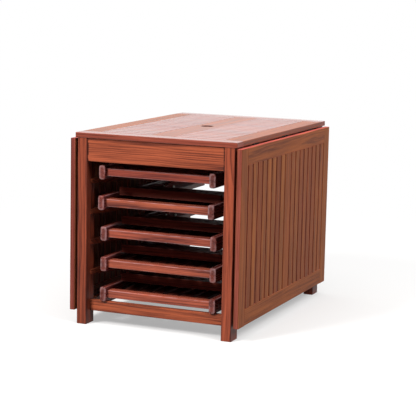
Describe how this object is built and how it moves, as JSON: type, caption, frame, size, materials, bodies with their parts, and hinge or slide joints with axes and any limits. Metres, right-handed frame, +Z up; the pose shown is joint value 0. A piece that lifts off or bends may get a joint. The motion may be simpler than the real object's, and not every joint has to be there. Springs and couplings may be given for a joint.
{
  "type": "folding outdoor dining set",
  "caption": "Slatted wooden drop-leaf garden table with folding chairs stored in its open frame; the leaves lift on hinges and stays, the chairs slide out.",
  "frame": {"origin": "on the floor, under the middle of the table", "axes": "+X across the table to the right leaf, +Y from the open front where the chairs come out to the rear, +Z up"},
  "size_m": [0.7, 0.99, 0.74],
  "materials": {
    "top_wood": "oiled reddish-brown hardwood, satin sheen",
    "frame_wood": "oiled reddish-brown hardwood, satin",
    "leaf_wood": "oiled reddish-brown hardwood, matt to satin",
    "chair_wood": "oiled reddish-brown hardwood, satin",
    "plated_steel": "zinc-plated steel"
  },
  "bodies": {
    "root": {"top_end_rails": "top_wood", "top_side_rails": "top_wood", "top_centre_rail": "top_wood", "top_slats": "top_wood", "leg_front_left": "frame_wood", "leg_front_right": "frame_wood", "leg_rear_left": "frame_wood", "leg_rear_right": "frame_wood", "apron_front": "frame_wood", "apron_rear": "frame_wood", "side_aprons": "frame_wood", "low_rail_front": "frame_wood", "low_rail_rear": "frame_wood", "low_side_rails": "frame_wood", "top_cleats": "frame_wood", "runners_left": "frame_wood", "runners_right": "frame_wood", "runner_screws": "plated_steel", "hinge_table_flaps": "plated_steel", "hinge_pins": "plated_steel", "stay_leg_plates": "plated_steel"},
    "leaf_right": {"leaf_right_frame": "leaf_wood", "leaf_right_slats": "leaf_wood", "hinge_leaf_flaps_right": "plated_steel", "stay_leaf_brackets_right": "plated_steel"},
    "long_stay_right": {"stay_long_links_right": "plated_steel"},
    "short_stay_right": {"stay_short_links_right": "plated_steel"},
    "leaf_left": {"leaf_left_frame": "leaf_wood", "leaf_left_slats": "leaf_wood", "hinge_leaf_flaps_left": "plated_steel", "stay_leaf_brackets_left": "plated_steel"},
    "long_stay_left": {"stay_long_links_left": "plated_steel"},
    "short_stay_left": {"stay_short_links_left": "plated_steel"},
    "chair_1": {"chair_1_frame": "chair_wood", "chair_1_back_slats": "chair_wood", "chair_1_rear_legs": "chair_wood", "chair_1_seat": "chair_wood", "chair_1_bolts": "plated_steel"},
    "chair_2": {"chair_2_frame": "chair_wood", "chair_2_back_slats": "chair_wood", "chair_2_rear_legs": "chair_wood", "chair_2_seat": "chair_wood", "chair_2_bolts": "plated_steel"},
    "chair_3": {"chair_3_frame": "chair_wood", "chair_3_back_slats": "chair_wood", "chair_3_rear_legs": "chair_wood", "chair_3_seat": "chair_wood", "chair_3_bolts": "plated_steel"},
    "chair_4": {"chair_4_frame": "chair_wood", "chair_4_back_slats": "chair_wood", "chair_4_rear_legs": "chair_wood", "chair_4_seat": "chair_wood", "chair_4_bolts": "plated_steel"},
    "chair_5": {"chair_5_frame": "chair_wood", "chair_5_back_slats": "chair_wood", "chair_5_rear_legs": "chair_wood", "chair_5_seat": "chair_wood", "chair_5_bolts": "plated_steel"}
  },
  "joints": [
    {"name": "leaf_right_hinge", "type": "hinge", "parent": "root", "child": "leaf_right", "pos_m": [0.329, 0, 0.719], "axis": [0, -1, 0], "range_deg": [0, 90]},
    {"name": "long_stay_right_pivot", "type": "hinge", "parent": "root", "child": "long_stay_right", "pos_m": [0.316, 0, 0.47], "axis": [0, -1, 0], "range_deg": [0, 121]},
    {"name": "short_stay_right_pivot", "type": "hinge", "parent": "leaf_right", "child": "short_stay_right", "pos_m": [0.316, 0, 0.339], "axis": [0, -1, 0], "range_deg": [-149.02, 0]},
    {"name": "leaf_left_hinge", "type": "hinge", "parent": "root", "child": "leaf_left", "pos_m": [-0.329, 0, 0.719], "axis": [0, 1, 0], "range_deg": [0, 90]},
    {"name": "long_stay_left_pivot", "type": "hinge", "parent": "root", "child": "long_stay_left", "pos_m": [-0.316, 0, 0.47], "axis": [0, 1, 0], "range_deg": [0, 121]},
    {"name": "short_stay_left_pivot", "type": "hinge", "parent": "leaf_left", "child": "short_stay_left", "pos_m": [-0.316, 0, 0.339], "axis": [0, 1, 0], "range_deg": [-149.02, 0]},
    {"name": "chair_1_slide", "type": "slide", "parent": "root", "child": "chair_1", "axis": [0, -1, 0], "range_m": [0, 0.96]},
    {"name": "chair_2_slide", "type": "slide", "parent": "root", "child": "chair_2", "axis": [0, -1, 0], "range_m": [0, 0.96]},
    {"name": "chair_3_slide", "type": "slide", "parent": "root", "child": "chair_3", "axis": [0, -1, 0], "range_m": [0, 0.96]},
    {"name": "chair_4_slide", "type": "slide", "parent": "root", "child": "chair_4", "axis": [0, -1, 0], "range_m": [0, 0.96]},
    {"name": "chair_5_slide", "type": "slide", "parent": "root", "child": "chair_5", "axis": [0, -1, 0], "range_m": [0, 0.96]}
  ],
  "couplings": [
    {"joint": "long_stay_right_pivot", "follows": "leaf_right_hinge", "ratio": 1.3443},
    {"joint": "short_stay_right_pivot", "follows": "leaf_right_hinge", "ratio": -1.6557},
    {"joint": "long_stay_left_pivot", "follows": "leaf_left_hinge", "ratio": 1.3443},
    {"joint": "short_stay_left_pivot", "follows": "leaf_left_hinge", "ratio": -1.6557}
  ]
}
